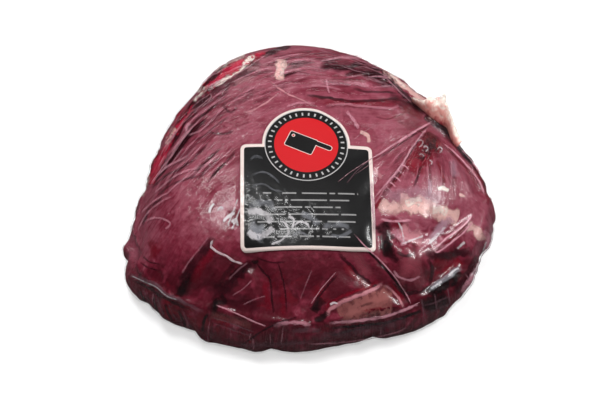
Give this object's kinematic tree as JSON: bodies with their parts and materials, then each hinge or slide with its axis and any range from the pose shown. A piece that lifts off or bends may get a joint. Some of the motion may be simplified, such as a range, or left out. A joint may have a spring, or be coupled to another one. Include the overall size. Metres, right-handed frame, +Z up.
{
  "type": "vacuum-packed beef rump muscle",
  "caption": "Whole trimmed heart of rump of beef, dark red and rounded, sealed in tight clear shrink film with creases, pleats and a printed label under the film.",
  "frame": {"origin": "on the table under the middle of the pack's bounding box", "axes": "+Z up, +X along the pack's length to its right seen from the front, -Y the front that the label's foot points to"},
  "size_m": [0.236, 0.222, 0.0729],
  "materials": {
    "meat_in_film": "dark red meat with pale fat seen through tight glossy clear film",
    "label_print": "coated paper print, near black with an off-white edge and a red disc"
  },
  "bodies": {
    "root": {"bagged_rump": "meat_in_film", "label": "label_print"}
  },
  "joints": []
}
